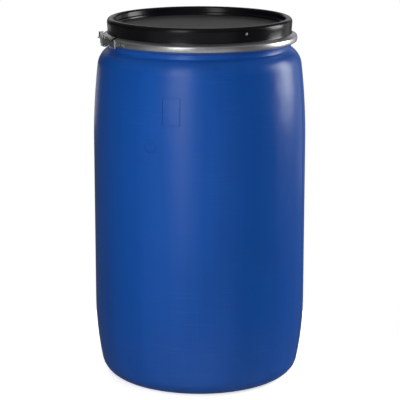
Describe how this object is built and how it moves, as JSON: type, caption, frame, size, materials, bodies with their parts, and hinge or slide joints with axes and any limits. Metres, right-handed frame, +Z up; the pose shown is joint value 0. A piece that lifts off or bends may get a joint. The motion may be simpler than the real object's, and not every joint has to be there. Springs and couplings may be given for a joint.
{
  "type": "open head drum",
  "caption": "Tall plastic drum with a removable lid, held by a split steel clamp band with a lever closure.",
  "frame": {"origin": "centre of the ring the drum stands on, on the floor plane", "axes": "+Z up along the drum's axis; the band's closure faces -Y, its lever lies towards -X"},
  "size_m": [0.58, 0.5798, 0.995],
  "materials": {
    "shell": "blow-moulded polyethylene, faint sheen",
    "lid": "moulded polyethylene, satin",
    "gasket": "soft foam rubber",
    "band": "galvanised rolled sheet",
    "zinc_steel": "zinc-plated pressed sheet",
    "rivet": "zinc-plated, headed"
  },
  "bodies": {
    "drum": {"drum_shell": "shell"},
    "lid": {"lid": "lid", "lid_gasket": "gasket"},
    "band": {"band_lever_half": "band", "lever_bracket": "zinc_steel", "lever_bracket_rivets": "rivet", "lever_pivot_studs": "rivet", "seal_lug": "zinc_steel", "seal_lug_rivets": "rivet"},
    "band_catch_end": {"band_catch_half": "band", "catch_bracket": "zinc_steel", "catch_bracket_rivets": "rivet", "catch_pin": "rivet"},
    "lever": {"lever": "zinc_steel", "hook_rivet": "rivet", "hook_spacers": "zinc_steel"},
    "draw_hook": {"draw_hook": "zinc_steel"}
  },
  "joints": [
    {"name": "lid_lift", "type": "slide", "parent": "drum", "child": "lid", "axis": [0, 0, 1], "range_m": [0, 0.25]},
    {"name": "band_lift", "type": "slide", "parent": "drum", "child": "band", "axis": [0, 0, 1], "range_m": [0, 0.35], "deforming": ["band_lever_half", "band_catch_half"]},
    {"name": "band_spread", "type": "hinge", "parent": "band", "child": "band_catch_end", "pos_m": [0, 0.265, 0.941], "axis": [0, 0, 1], "range_deg": [0, 2.6]},
    {"name": "lever_swing", "type": "hinge", "parent": "band", "child": "lever", "pos_m": [-0.01426, -0.26962, 0.941], "axis": [0, 0, 1], "range_deg": [0, 130]},
    {"name": "hook_swing", "type": "hinge", "parent": "lever", "child": "draw_hook", "pos_m": [-0.03455, -0.26778, 0.941], "axis": [0, 0, 1], "range_deg": [-145.6, 0]}
  ],
  "couplings": [
    {"joint": "hook_swing", "follows": "lever_swing", "ratio": -1.12},
    {"joint": "band_spread", "follows": "lever_swing", "ratio": 0.02}
  ]
}
